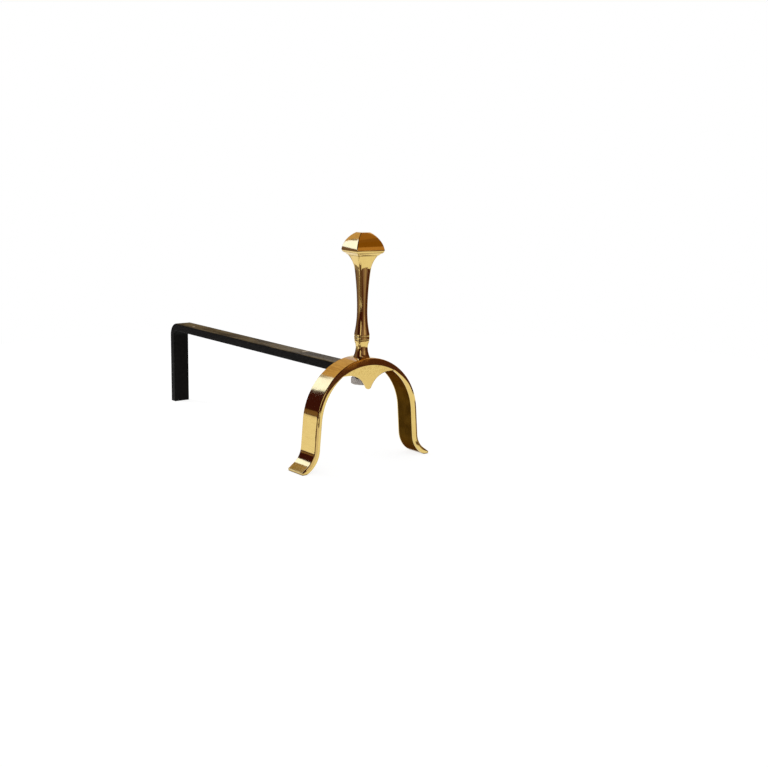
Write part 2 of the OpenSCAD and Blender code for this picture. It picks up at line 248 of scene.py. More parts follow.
class Graph:
    """A node material on object coordinates, in metres, with short calls for its nodes."""

    def __init__(self, name):
        self.material = bpy.data.materials.new(name)
        self.material.use_nodes = True
        self.tree = self.material.node_tree
        self.shader = self.tree.nodes["Principled BSDF"]
        self.place = self.node("ShaderNodeTexCoord").outputs["Object"]

    def node(self, kind, **settings):
        """A new node with its settings."""
        new = self.tree.nodes.new(kind)
        for key, value in settings.items():
            setattr(new, key, value)
        return new

    def feed(self, value, socket):
        """Links a socket to an input, or sets a plain value there."""
        if isinstance(value, bpy.types.NodeSocket):
            self.tree.links.new(value, socket)
        elif isinstance(value, tuple) and len(value) == 3 and socket.type == "RGBA":
            socket.default_value = (*value, 1)
        else:
            socket.default_value = value

    def math(self, operation, a, b):
        new = self.node("ShaderNodeMath", operation=operation)
        self.feed(a, new.inputs[0])
        self.feed(b, new.inputs[1])
        return new.outputs[0]

    def times(self, a, b):
        return self.math("MULTIPLY", a, b)

    def plus(self, a, b):
        return self.math("ADD", a, b)

    def axis(self, letter):
        """One coordinate of the place, in millimetres about the post's axis."""
        split = self.node("ShaderNodeSeparateXYZ")
        self.feed(self.place, split.inputs[0])
        value = self.times(split.outputs[letter.upper()], 1 / MM)
        return self.math("SUBTRACT", value, AXIS_Y / MM) if letter == "y" else value

    def noise(self, size, detail, rough, stretch=(1, 1, 1), shift=0):
        """Noise from 0 to 1. Its features are about size millimetres, times the stretch."""
        scaled = self.node("ShaderNodeMapping")
        self.feed(self.place, scaled.inputs["Vector"])
        scaled.inputs["Scale"].default_value = [1 / MM / size / s for s in stretch]
        scaled.inputs["Location"].default_value = [shift * way for way in SHIFT_WAY]
        new = self.node("ShaderNodeTexNoise")
        self.feed(scaled.outputs[0], new.inputs["Vector"])
        new.inputs["Scale"].default_value = 1
        new.inputs["Detail"].default_value = detail
        new.inputs["Roughness"].default_value = rough
        return new.outputs["Fac"]

    def window(self, value, low, high, to_low=0, to_high=1):
        """A smooth rise from to_low to to_high as value goes from low to high."""
        new = self.node("ShaderNodeMapRange", interpolation_type="SMOOTHSTEP")
        self.feed(value, new.inputs["Value"])
        new.inputs["From Min"].default_value = low
        new.inputs["From Max"].default_value = high
        new.inputs["To Min"].default_value = to_low
        new.inputs["To Max"].default_value = to_high
        return new.outputs[0]

    def blend(self, amount, first, second):
        """The first colour at 0 and the second at 1."""
        new = self.node("ShaderNodeMix", data_type="RGBA")
        self.feed(amount, new.inputs[MIX_AMOUNT])
        self.feed(first, new.inputs[MIX_FIRST])
        self.feed(second, new.inputs[MIX_SECOND])
        return new.outputs[MIX_RESULT]

    def crevice_shade(self, reach):
        """1 in a joint or inner corner, as painted shade from ambient occlusion, falling to 0 on
        open metal. reach is in millimetres.
        """
        new = self.node("ShaderNodeAmbientOcclusion", samples=AO_SAMPLES)
        new.inputs["Distance"].default_value = reach * MM
        return self.window(new.outputs["AO"], AO_CORNER, AO_OPEN, 1, 0)

    def bump(self, height, depth, under=None):
        """Adds a relief depth millimetres deep on top of another bump."""
        new = self.node("ShaderNodeBump")
        new.inputs["Distance"].default_value = depth * MM
        self.feed(height, new.inputs["Height"])
        if under:
            self.feed(under, new.inputs["Normal"])
        return new.outputs[0]

    def finish(self, colour, roughness, normal, metallic):
        """The finished material."""
        self.feed(colour, self.shader.inputs["Base Color"])
        self.feed(roughness, self.shader.inputs["Roughness"])
        self.feed(normal, self.shader.inputs["Normal"])
        self.shader.inputs["Metallic"].default_value = metallic
        return self.material


def some_of(grain, share):
    """A weaker stretch: none at a share of 0, and the grain's own at 1."""
    return [1 + (s - 1) * share for s in grain]


def polished_brass(name, grain):
    """Hand-polished brass. grain stretches its fine lines along the piece.

    Stains and brush lines are strongest on the arch's crown and fade above it.
    """
    g = Graph(name)
    cloud = g.noise(34, detail=3, rough=0.6)
    spots = g.window(g.noise(5, detail=4, rough=0.65, shift=3), 0.6, 0.8)
    lines = g.noise(0.5, detail=2, rough=0.6, stretch=grain, shift=7)
    corner = g.crevice_shade(3)
    crown = g.window(g.axis("z"), *STAIN_RISE, 0.2, 1)
    crown = g.math("SUBTRACT", crown, g.window(g.axis("z"), *STAIN_FADE, 0, 0.8))
    brushed = g.noise(1.7, detail=3, rough=0.6, stretch=grain, shift=9)
    brushed = g.window(brushed, 0.42, 0.66, 0, 0.6)
    colour = g.blend(g.window(cloud, 0.35, 0.75, 0, 0.35), BRASS, BRASS_WARM)
    colour = g.blend(g.times(spots, crown), colour, TARNISH)
    colour = g.blend(g.times(brushed, crown), colour, BRUSHED)
    # Joints and inner corners darkened by ambient occlusion: polish residue and painted shade
    colour = g.blend(g.times(corner, 0.85), colour, GRIME_AND_SHADE)
    rough = g.window(cloud, 0.3, 0.8, 0.07, 0.11)
    rough = g.plus(rough, g.window(lines, 0.5, 0.9, 0, 0.06))
    rough = g.plus(rough, g.times(corner, 0.25))
    wavy = g.noise(11, detail=1, rough=0.4, stretch=some_of(grain, 0.12), shift=1)
    buffed = g.noise(2.2, detail=3, rough=0.6, stretch=some_of(grain, 0.4), shift=11)
    relief = g.bump(wavy, depth=0.09)
    relief = g.bump(buffed, depth=0.012, under=relief)
    relief = g.bump(lines, depth=0.0012, under=relief)
    return g.finish(colour, rough, relief, metallic=1)


def cast_brass():
    """Brass left as it came from the sand, brown and grainy."""
    g = Graph("cast_brass")
    cloud = g.noise(16, detail=4, rough=0.6)
    sand = g.noise(0.9, detail=5, rough=0.7, shift=5)
    colour = g.blend(g.window(cloud, 0.3, 0.75), CAST_LIGHT, CAST_DARK)
    colour = g.blend(g.window(sand, 0.55, 0.75, 0, 0.5), colour, CAST_SAND)
    rough = g.window(sand, 0.3, 0.7, 0.62, 0.42)
    relief = g.bump(g.noise(4, detail=3, rough=0.6, shift=2), depth=0.25)
    relief = g.bump(sand, depth=0.08, under=relief)
    g.shader.inputs["Specular Tint"].default_value = CAST_TINT
    return g.finish(colour, rough, relief, metallic=1)


def bare_glint_places(g, ragged):
    """1 in the bar's bare places, painted bright as worn metal and glints. ragged moves their
    edges, in millimetres.
    """
    across = g.plus(g.axis("x"), ragged)
    along = g.plus(g.axis("y"), ragged)
    total = None
    for low_x, high_x, low_y, high_y in BARE_GLINT_PLACES:
        place = g.times(g.window(across, low_x, low_x + BARE_SOFT),
                        g.window(across, high_x - BARE_SOFT, high_x, 1, 0))
        place = g.times(place, g.window(along, low_y, low_y + BARE_SOFT))
        place = g.times(place, g.window(along, high_y - BARE_SOFT, high_y, 1, 0))
        total = place if total is None else g.math("MAXIMUM", total, place)
    return total


def black_iron():
    """Flat bar blacked with stove polish, worn brown on its top face, which is painted lighter as
    a sheen, and bare in two places painted bright as glints.
    """
    g = Graph("black_iron")
    scale = g.noise(3.5, detail=5, rough=0.65, stretch=(1, 3, 1))
    cloud = g.noise(30, detail=3, rough=0.6, stretch=(1, 3, 1), shift=4)
    lines = g.noise(0.6, detail=3, rough=0.6, stretch=(1, 40, 1), shift=8)
    ragged = g.times(g.math("SUBTRACT", scale, 0.5), BARE_RAGGED)
    top = g.window(g.axis("z"), BAR_TOP - WEAR_SHEEN_START, BAR_TOP - WEAR_SHEEN_FULL)
    colour = g.blend(g.window(scale, 0.35, 0.75), IRON_DARK, IRON_LIGHT)
    # The top face painted lighter brown: wear, and a painted sheen of grazing light
    colour = g.blend(g.times(top, g.window(cloud, 0.35, 0.65, 0.25, 0.9)), colour, IRON_WORN_SHEEN)
    # Two bare places: worn through, and painted bright as glints
    colour = g.blend(g.times(bare_glint_places(g, ragged), top), colour, IRON_BARE_GLINT)
    rough = g.window(scale, 0.3, 0.8, 0.5, 0.36)
    rough = g.plus(rough, g.window(lines, 0.4, 0.8, 0, 0.1))
    relief = g.bump(scale, depth=0.09)
    relief = g.bump(lines, depth=0.02, under=relief)
    g.shader.inputs["Specular IOR Level"].default_value = IRON_SHEEN
    return g.finish(colour, rough, relief, metallic=0)


def turned_steel():
    """Zinc-grey steel with fine tool marks, darkened in its joints as grime and painted shade."""
    g = Graph("turned_steel")
    cloud = g.noise(5, detail=3, rough=0.6)
    marks = g.noise(0.35, detail=2, rough=0.5, stretch=(8, 8, 1), shift=2)
    colour = g.blend(g.window(cloud, 0.35, 0.75), STEEL_LIGHT, STEEL_DARK)
    # Joints darkened by ambient occlusion: grime and painted shade
    colour = g.blend(g.times(g.crevice_shade(2), 0.8), colour, STEEL_GRIME_AND_SHADE)
    rough = g.window(cloud, 0.3, 0.8, 0.26, 0.4)
    return g.finish(colour, rough, g.bump(marks, depth=0.012), metallic=1)


ARCH_BRASS = polished_brass("arch_brass", grain=(1, 10, 1))
POST_BRASS = polished_brass("post_brass", grain=(1, 1, 12))
CAST_BRASS = cast_brass()
IRON = black_iron()
STEEL = turned_steel()


# ---- Arch: one closed outline in x and z, with bevels worked out from it ----
# Steps along each part of the outline
CROWN_STEPS, LEG_STEPS, INSTEP_STEPS, TOE_STEPS, CORNER_STEPS = 56, 10, 22, 8, 4
SOLE_STEPS, INNER_STEPS, POCKET_STEPS, FLAT_STEPS = 30, 30, 6, 3
SCALLOP_STEPS, TIP_STEPS, SEAT_STEPS = 24, 8, 12
# Steps of each rounded edge, and the points that a section's front and back have from them
FRONT_STEPS, BACK_STEPS, WALL_STEPS = 4, 3, 5
FRONT_COUNT, BACK_COUNT = 2 * (FRONT_STEPS + 1), 2 * (BACK_STEPS + 1)
# How far behind the bevel the wall starts at least, and how far before the back it ends
WALL_START, WALL_END = 1, 2
# The last steps of the inner face, by the apron, are polished and the rest is left as cast
POLISHED_STEPS = 6
# The crown's bevel is a cone whose axis lies below the crown's own, and runs softly into the
# outer bevel
CROWN_DROP = 12.6
CONE_R = ARCH_R + CROWN_DROP - CROWN_BEVEL
BEVEL_JOIN = 0.1


class Spot:
    """A point of an outline, the way into the metal, and its bevel's width and depth."""

    def __init__(self, at, inward, bevel, depth=None, corner=None, mitre=None):
        self.at = at
        self.inward = inward
        self.bevel = bevel
        self.depth = bevel if depth is None else depth
        self.corner = corner
        self.mitre = mitre

    def offset(self, inset):
        """The point moved into the metal. Past a rounded corner's centre it follows the mitre."""
        near = inset if self.corner is None else min(inset, self.corner)
        x = self.at[0] + self.inward[0] * near
        z = self.at[1] + self.inward[1] * near
        if self.corner is not None and inset > self.corner:
            x += self.mitre[0] * (inset - self.corner)
            z += self.mitre[1] * (inset - self.corner)
        return x, z

    def mirrored(self):
        """The same spot on the left side."""
        mitre = self.mitre and (-self.mitre[0], self.mitre[1])
        return Spot((-self.at[0], self.at[1]), (-self.inward[0], self.inward[1]),
                    self.bevel, self.depth, self.corner, mitre)


def arc_spots(centre, radius, start, end, count, bevel, convex):
    """Spots along an arc. On a convex arc the metal is towards the centre."""
    side = -1 if convex else 1
    return [Spot(polar(centre, radius, a), (side * cos(a), side * sin(a)), bevel)
            for a in steps(start, end, count)]


def line_spots(start, end, inward, count, bevel):
    """Spots along a straight side."""
    spots = []
    for t in steps(0, 1, count):
        at = (start[0] + (end[0] - start[0]) * t, start[1] + (end[1] - start[1]) * t)
        spots.append(Spot(at, inward, bevel))
    return spots


def corner_spots(at, first, second):
    """Spots round a corner of the toe's end, between two sides with these inward directions."""
    dot = first[0] * second[0] + first[1] * second[1]
    mitre = ((first[0] + second[0]) / (1 + dot), (first[1] + second[1]) / (1 + dot))
    centre = (at[0] + mitre[0] * TOE_CORNER_R, at[1] + mitre[1] * TOE_CORNER_R)
    start = atan2(-first[1], -first[0])
    turn = -acos(max(-1, min(1, dot)))
    spots = []
    for a in steps(start, start + turn, CORNER_STEPS):
        spots.append(Spot(polar(centre, TOE_CORNER_R, a), (-cos(a), -sin(a)), INNER_BEVEL,
                          corner=TOE_CORNER_R, mitre=mitre))
    return spots


CROWN = (0, ARCH_Z)
OUT = (cos(LEAN), sin(LEAN))
DOWN = (sin(LEAN), -cos(LEAN))
HIP = polar(CROWN, ARCH_R, LEAN)
ANKLE = (HIP[0] + LEG_LEN * DOWN[0], HIP[1] + LEG_LEN * DOWN[1])
INNER_R = ARCH_R - STRAP_T
INSTEP = polar(ANKLE, INSTEP_R, LEAN)
SOLE = polar(ANKLE, SOLE_R - STRAP_T, LEAN)
TOE_START = polar(INSTEP, INSTEP_R, pi * 3 / 2 - TOE_SLOPE)
TOE_TIP = (TOE_X, TOE_START[1] - (TOE_X - TOE_START[0]) * tan(TOE_SLOPE))
TOE_END = (TOE_X - TOE_TIP[1] * tan(END_LEAN), 0)
SOLE_LOW = pi * 3 / 2 - acos(SOLE[1] / SOLE_R)
TIP_RISE = TIP_Z - SCALLOP[1]
TIP_R = (SCALLOP[0] ** 2 + TIP_RISE ** 2 - SCALLOP_R ** 2) / (2 * (SCALLOP_R - TIP_RISE))
TIP = (0, TIP_Z + TIP_R)
SCALLOP_TOP = SCALLOP[1] + SCALLOP_R
POCKET = (sqrt((INNER_R - POCKET_R) ** 2 - (SCALLOP_TOP - POCKET_R - ARCH_Z) ** 2),
          SCALLOP_TOP - POCKET_R)
POCKET_ANGLE = atan2(POCKET[1] - ARCH_Z, POCKET[0])


def crown_spots():
    """The crown's outer arc from its top to the right hip, with its crescent bevel."""
    spots = []
    for a in steps(pi / 2, LEAN, CROWN_STEPS):
        front = -CROWN_DROP * sin(a) + sqrt(CONE_R ** 2 - (CROWN_DROP * cos(a)) ** 2)
        over = ARCH_R - front - OUTER_BEVEL
        bevel = OUTER_BEVEL + (over + sqrt(over * over + BEVEL_JOIN)) / 2
        spots.append(Spot(polar(CROWN, ARCH_R, a), (-cos(a), -sin(a)), bevel))
    return spots


def right_outside():
    """From the crown's top, down the leg and round the toe to the floor."""
    toe_in = (-sin(TOE_SLOPE), -cos(TOE_SLOPE))
    end_in = (-cos(END_LEAN), sin(END_LEAN))
    spots = crown_spots()
    spots += line_spots(HIP, ANKLE, (-OUT[0], -OUT[1]), LEG_STEPS, OUTER_BEVEL)[1:]
    spots += arc_spots(INSTEP, INSTEP_R, pi + LEAN, pi * 3 / 2 - TOE_SLOPE, INSTEP_STEPS,
                       OUTER_BEVEL, convex=False)[1:]
    for spot in spots:
        spot.depth = spot.bevel * BEVEL_SLOPE
    toe = line_spots(TOE_START, TOE_TIP, toe_in, TOE_STEPS, OUTER_BEVEL)
    for t, spot in zip(steps(0, 1, TOE_STEPS), toe):
        spot.bevel += (INNER_BEVEL - OUTER_BEVEL) * t
        spot.depth = OUTER_BEVEL * BEVEL_SLOPE * (1 - t) + INNER_BEVEL * t
    spots += toe[:-1]
    spots += corner_spots(TOE_TIP, toe_in, end_in)
    spots += corner_spots(TOE_END, end_in, (0, 1))
    return spots


def right_inside():
    """From the floor, up the sole and the inner face to the apron's pocket."""
    spots = arc_spots(SOLE, SOLE_R, SOLE_LOW, pi + LEAN, SOLE_STEPS, INNER_BEVEL, convex=True)
    foot_in = (ANKLE[0] - STRAP_T * OUT[0], ANKLE[1] - STRAP_T * OUT[1])
    spots += line_spots(foot_in, polar(CROWN, INNER_R, LEAN), OUT, LEG_STEPS, INNER_BEVEL)[1:]
    spots += arc_spots(CROWN, INNER_R, LEAN, POCKET_ANGLE, INNER_STEPS, INNER_BEVEL,
                       convex=False)[1:]
    return spots


def right_scallop():
    """From the pocket's start, along the scallop to the apron's tip."""
    meet = atan2(TIP[1] - SCALLOP[1], TIP[0] - SCALLOP[0])
    spots = arc_spots(POCKET, POCKET_R, POCKET_ANGLE, pi / 2, POCKET_STEPS, INNER_BEVEL,
                      convex=False)
    spots += line_spots((POCKET[0], SCALLOP_TOP), (SCALLOP[0], SCALLOP_TOP), (0, 1),
                        FLAT_STEPS, INNER_BEVEL)[1:]
    spots += arc_spots(SCALLOP, SCALLOP_R, pi / 2, meet, SCALLOP_STEPS, INNER_BEVEL,
                       convex=False)[1:]
    spots += arc_spots(TIP, TIP_R, meet - pi, -pi / 2, TIP_STEPS, INNER_BEVEL,
                       convex=True)[1:]
    return spots


def right_seat():
    """Behind the apron: from the pocket along the crown's inner face and the seat pad."""
    pad_top = acos(PAD_HALF / INNER_R)
    spots = arc_spots(CROWN, INNER_R, POCKET_ANGLE, pad_top, SEAT_STEPS, INNER_BEVEL,
                      convex=False)
    side = spots.pop()
    lift = (1 - sin(pad_top)) / cos(pad_top)
    spots.append(Spot(side.at, (-1, 1 - lift), INNER_BEVEL))
    spots.append(Spot((PAD_HALF, BAR_TOP), (-1, 1), INNER_BEVEL))
    spots += line_spots((PAD_HALF - PAD_EASE, BAR_TOP), (0, BAR_TOP), (0, 1), FLAT_STEPS,
                        INNER_BEVEL)
    return spots


def arch_section(spot):
    """The strap's front, wall and back as points. The wall's first level is the apron's back."""
    front = rounded([(spot.bevel + SIDE_RUN, 0), (spot.bevel, 0), (0, spot.depth),
                     (0, spot.depth + SIDE_RUN)], EDGE_R, FRONT_STEPS)
    back = rounded([(0, STRAP_D - 2 * SIDE_RUN), (0, STRAP_D - BACK_EASE),
                    (BACK_EASE, STRAP_D), (BACK_EASE + SIDE_RUN, STRAP_D)],
                   BACK_EDGE_R, BACK_STEPS)
    start = max(APRON_T, spot.depth + WALL_START)
    wall = [(0, y) for y in steps(start, STRAP_D - WALL_END, WALL_STEPS)]
    points = []
    for inset, y in front + wall + back:
        x, z = spot.offset(inset)
        points.append((x, FRONT_Y + y, z))
    return points


def with_mirror(make_rows, spots):
    """Rows of the right side's spots, then of their mirror images, out from the middle."""
    return make_rows(spots) + make_rows([s.mirrored() for s in reversed(spots[:-1])])


def front_rows(spots):
    """The front bevel and the edge, as far as the apron's back."""
    return [arch_section(s)[:FRONT_COUNT + 1] for s in spots]


def back_rows(spots):
    """The wall behind the apron, and the back bevel."""
    return [arch_section(s)[FRONT_COUNT:] for s in spots]


def build_arch():
    shell = Shell()
    outside, inside = right_outside(), right_inside()
    legs = inside[::-1] + outside[::-1] + [s.mirrored() for s in outside[1:] + inside]
    leg_rows = [arch_section(s) for s in legs]
    as_cast = len(inside) - POLISHED_STEPS
    for i, (a, b) in enumerate(zip(leg_rows, leg_rows[1:])):
        casting = i < as_cast or i >= len(leg_rows) - 1 - as_cast
        shell.strip([a[:FRONT_COUNT + 1], b[:FRONT_COUNT + 1]])
        shell.strip([a[FRONT_COUNT:-BACK_COUNT], b[FRONT_COUNT:-BACK_COUNT]],
                    look=1 if casting else 0)
        shell.strip([a[-BACK_COUNT - 1:], b[-BACK_COUNT - 1:]])
    scallop_rows = with_mirror(front_rows, right_scallop())
    seat_rows = with_mirror(back_rows, right_seat())
    shell.strip(scallop_rows)
    shell.strip(seat_rows, look=1)
    seat_back = seat_rows[::-1][1:-1]
    shell.sheet([r[0] for r in leg_rows] + [r[0] for r in scallop_rows[::-1][1:-1]])
    shell.sheet([r[-1] for r in leg_rows] + [r[-1] for r in seat_back])
    shell.sheet([r[-1] for r in scallop_rows] + [r[0] for r in seat_back], look=1)
    return mesh_object("arch", shell, [ARCH_BRASS, CAST_BRASS])


# ---- Post: square pieces lofted up the axis ----
# Steps along a square ring's face and round its corner, and up each part of the pieces
ACROSS, AROUND = 10, 4
ROLL_STEPS, DOME_STEPS, SHAFT_STEPS, NECK_STEPS, FLARE_STEPS, COVE_STEPS = 14, 30, 40, 16, 16, 8
# Steps of the level edges that have more than the usual 3
TOP_EDGE_STEPS, COLLAR_EDGE_STEPS, LIP_EDGE_STEPS, BAND_EDGE_STEPS = 5, 5, 4, 4


def turned(x, y):
    """A place of the post, turned with it on its screw."""
    return (x * cos(POST_TURN) - y * sin(POST_TURN), x * sin(POST_TURN) + y * cos(POST_TURN))


def square_ring(half, arris, crowned):
    """A square with eased corners and faces that fall away a little towards them."""
    flat = half - arris - crowned
    quarter = [(flat * t, -half + crowned * t * t) for t in steps(-1, 1, ACROSS)[1:-1]]
    quarter += [(flat + arris * sin(t), -flat - arris * cos(t)) for t in steps(0, pi / 2, AROUND)]
    ring = []
    for _ in range(4):
        ring += quarter
        quarter = [(-y, x) for x, y in quarter]
    return ring


def bore_ring(ring):
    """The points of the bore's edge that face the points of a ring."""
    return [(x * BORE_R / hypot(x, y), y * BORE_R / hypot(x, y), z) for x, y, z in ring]


def looped(row):
    """The row with its first point again at its end."""
    return row + row[:1]


def lofted(name, levels, arris=CORNER_R, crowned=FACE_CROWN, ground=None, blind=None):
    """Square rings at the given heights and half widths, round the tie rod's bore.

    ground gives the height of the lowest ring's points, and blind that of a blind bore's end.
    """
    rings = [[(*turned(x, y), z) for x, y in square_ring(half, arris, crowned)]
             for z, half in levels]
    if ground:
        low, top = levels[0][0], levels[-1][0]
        rings = [[(x, y, ground(x) + (z - low) * (top - ground(x)) / (top - low))
                  for x, y, z in ring] for ring in rings]
    shell = Shell()
    bottom = bore_ring(rings[0])
    if blind:
        end = [(x, y, blind) for x, y, _ in bottom]
        shell.strip([looped(r) for r in [end, bottom] + rings])
        shell.sheet(end)
        shell.sheet(rings[-1])
    else:
        rings = [bottom] + rings + [bore_ring(rings[-1])]
        shell.strip([looped(r) for r in rings], closed=True)
    return mesh_object(name, shell, [POST_BRASS])


def arc_radius(rise, sag):
    """Radius of an arc that starts upright and moves sideways by sag over rise."""
    return (rise * rise + sag * sag) / (2 * sag)


def hollow(narrowest, radius, away):
    """Half width of a hollow face at a height away from its narrowest level."""
    return narrowest + radius - sqrt(radius ** 2 - away ** 2)


def dome_half(z):
    """Half width of the finial's dome at a height."""
    rim_reach = sqrt(DOME_R ** 2 - (RIM_Z - DOME_Z) ** 2)
    return RIM_H - rim_reach + sqrt(DOME_R ** 2 - (z - DOME_Z) ** 2)


def build_cap():
    roll = [(RIM_Z - UNDER_R * sin(a), RIM_H - UNDER_R + UNDER_R * cos(a))
            for a in steps(ROLL_END, 0, ROLL_STEPS)]
    levels = rounded([(CAP_Z, SEAT_H - SIDE_RUN), (CAP_Z, SEAT_H), roll[0]], SEAT_R) + roll
    levels += [(z, dome_half(z)) for z in steps(RIM_Z, POST_TOP - TOP_EASE, DOME_STEPS)[1:]]
    top_h = dome_half(POST_TOP)
    levels += rounded([levels[-1], (POST_TOP, top_h), (POST_TOP, top_h - SIDE_RUN)], TOP_R,
                      TOP_EDGE_STEPS)
    return lofted("finial", levels, CAP_CORNER_R, CAP_CROWN, blind=ROD_TOP + BLIND_GAP)


def shaft_half(z):
    """Half width of the shaft at a height."""
    if z < WAIST_Z:
        return hollow(WAIST_H, FOOT_R, WAIST_Z - z)
    if z < NECK_Z:
        return hollow(WAIST_H, LONG_R, z - WAIST_Z)
    slope = asin((NECK_Z - WAIST_Z) / LONG_R)
    start = WAIST_H + LONG_R * (1 - cos(slope))
    turn = asin(sin(slope) + (z - NECK_Z) / NECK_R)
    return start + NECK_R * (cos(slope) - cos(turn))


def build_shaft():
    lip, foot = COLLAR_TOP + LIP_RISE, COLLAR_TOP + LIP_RISE + FOOT_RISE
    levels = rounded([(COLLAR_TOP, COLLAR_H - SIDE_RUN), (COLLAR_TOP, COLLAR_H), (lip, COLLAR_H),
                      (foot, shaft_half(foot))], LIP_R, LIP_EDGE_STEPS)
    levels += [(z, shaft_half(z)) for z in steps(foot, NECK_Z, SHAFT_STEPS)]
    neck = [(z, shaft_half(z)) for z in steps(NECK_Z, CAP_Z, NECK_STEPS)[1:]]
    top_h = neck[-1][1]
    levels += neck[:-1] + rounded(neck[-2:] + [(CAP_Z, top_h - SIDE_RUN)], JOINT_R)
    return lofted("shaft", levels)


def build_collar():
    inner = COLLAR_H - SIDE_RUN
    levels = rounded([(BASE_TOP, inner), (BASE_TOP, COLLAR_H), (COLLAR_TOP, COLLAR_H),
                      (COLLAR_TOP, inner)], JOINT_R, COLLAR_EDGE_STEPS)
    return lofted("collar", levels)


def build_base():
    band = COLLAR_H - BAND_IN
    cove_r = arc_radius(COVE_TOP - COVE_Z, band - COVE_H)
    flare_r = arc_radius(COVE_Z - CROWN_Z, BASE_H - COVE_H)
    levels = [(z, hollow(COVE_H, flare_r, COVE_Z - z))
              for z in steps(CROWN_Z, COVE_Z, FLARE_STEPS)]
    levels += [(z, hollow(COVE_H, cove_r, z - COVE_Z))
               for z in steps(COVE_Z, COVE_TOP, COVE_STEPS)[1:]]
    levels += rounded([(COVE_TOP, band), (BASE_TOP, band), (BASE_TOP, band - SIDE_RUN)], BAND_R,
                      BAND_EDGE_STEPS)

    def ground(x):
        """The crown's height under the base, which sinks in a little."""
        return ARCH_Z + sqrt(ARCH_R ** 2 - x * x) - BASE_SINK

    return lofted("base", levels, ground=ground)


# ---- Log bar: a rounded flat section swept along, round the bend and down ----
# Steps across the wide and thin sides, round each edge, along the bar, round the bend and down
WIDE_STEPS, THIN_STEPS, EDGE_STEPS = 8, 4, 4
RUN_STEPS, BEND_STEPS, DROP_STEPS = 90, 14, 24


def bar_section():
    """Points of the section: sideways, and out from the middle of the thickness."""
    w, t = BAR_W / 2 - BAR_EDGE, BAR_T / 2 - BAR_EDGE
    arcs = []
    for turn, centre in enumerate(((w, t), (-w, t), (-w, -t), (w, -t))):
        start = turn * pi / 2
        arcs.append([polar(centre, BAR_EDGE, a)
                     for a in steps(start, start + pi / 2, EDGE_STEPS)])
    ring = []
    for turn, (arc, after) in enumerate(zip(arcs, arcs[1:] + arcs[:1])):
        (x, y), (to_x, to_y) = arc[-1], after[0]
        parts = THIN_STEPS if turn % 2 else WIDE_STEPS
        ring += arc
        ring += [(x + (to_x - x) * t, y + (to_y - y) * t) for t in steps(0, 1, parts)[1:-1]]
    return ring


def build_bar():
    shell = Shell()
    mid = BEND_R - BAR_T / 2
    turn_y, turn_z = BAR_REACH - BEND_R, BAR_TOP - BEND_R
    leg_y = turn_y + mid
    stations = [(y, BAR_TOP - BAR_T / 2, 0)
                for y in steps(FRONT_Y + APRON_T + BAR_GAP, turn_y, RUN_STEPS)]
    stations += [(turn_y + mid * sin(a), turn_z + mid * cos(a), a)
                 for a in steps(0, pi / 2, BEND_STEPS)[1:]]
    stations += [(leg_y, z, pi / 2) for z in steps(turn_z, REAR_EASE, DROP_STEPS)[1:]]
    section = bar_section()
    rows = [[(x, y + out * sin(a), z + out * cos(a)) for x, out in section]
            for y, z, a in stations]
    rows.append([(x * REAR_SHARES[0], leg_y + (y - leg_y) * REAR_SHARES[1], 0)
                 for x, y, _ in rows[-1]])
    shell.strip([looped(r) for r in rows])
    shell.sheet(rows[0])
    shell.sheet(rows[-1])
    return mesh_object("log_rail", shell, [IRON])


# ---- Fixings ----
WASHER_SIDES, NUT_SLICES, ROD_SIDES = 64, 72, 48


def spun(name, profiles):
    """Steel round the axis. Each angle has its own closed profile of (radius, z)."""
    angles = steps(0, 2 * pi, len(profiles))
    shell = Shell()
    shell.strip([[(r * cos(a), r * sin(a), z) for r, z in profile]
                 for a, profile in zip(angles, profiles)], closed=True)
    return mesh_object(name, shell, [STEEL])


def build_washer():
    low, top = NUT_TOP, NUT_TOP + WASHER_T
    middle = ((WASHER_BORE + WASHER_R) / 2, low)
    profile = rounded([middle, (WASHER_BORE, low), (WASHER_BORE, top), (WASHER_R, top),
                       (WASHER_R, low), middle], WASHER_EASE)
    return spun("plain_washer", [looped(profile)] * WASHER_SIDES)


def nut_profile(angle):
    """The nut's profile at an angle. Its chamfers meet the flats in arcs."""
    bore, face = SHANK_R + NUT_GAP, NUT_AF / 2 - NUT_FACE
    reach = NUT_AF / 2 / cos((angle + pi / 6) % (pi / 3) - pi / 6)
    drop = (reach - face) * tan(NUT_CHAMFER)
    half = [(bore, BORE_CHAMFER), (bore + BORE_CHAMFER, 0),
            (face - FACE_EASE[0], 0), (face, FACE_EASE[1]),
            (reach - FLAT_EASE[0], drop), (reach, drop + FLAT_EASE[1])]
    return looped([(r, NUT_TOP - NUT_T + z) for r, z in half]
                  + [(r, NUT_TOP - z) for r, z in reversed(half)])


def build_nut():
    return spun("nut", [nut_profile(a) for a in steps(0, 2 * pi, NUT_SLICES)[:-1]])


def build_rod():
    low = NUT_TOP - NUT_T - ROD_STUB
    profile = rounded([(0, low), (SHANK_R, low), (SHANK_R, SHANK_TOP), (ROD_R, SHANK_TOP),
                       (ROD_R, ROD_TOP), (0, ROD_TOP)], ROD_EASE)
    return spun("rod", [[(0, low)] + profile + [(0, ROD_TOP)]] * ROD_SIDES)


show(build_arch(), "arch_legs")
show(build_base(), "post_base")
show(build_collar(), "post_collar")
show(build_shaft(), "post_shaft")
show(build_cap(), "finial_cap")
show(build_bar(), "log_bar")
show(build_rod(), "tie_rod")
show(build_washer(), "washer")
show(build_nut(), "hex_nut")

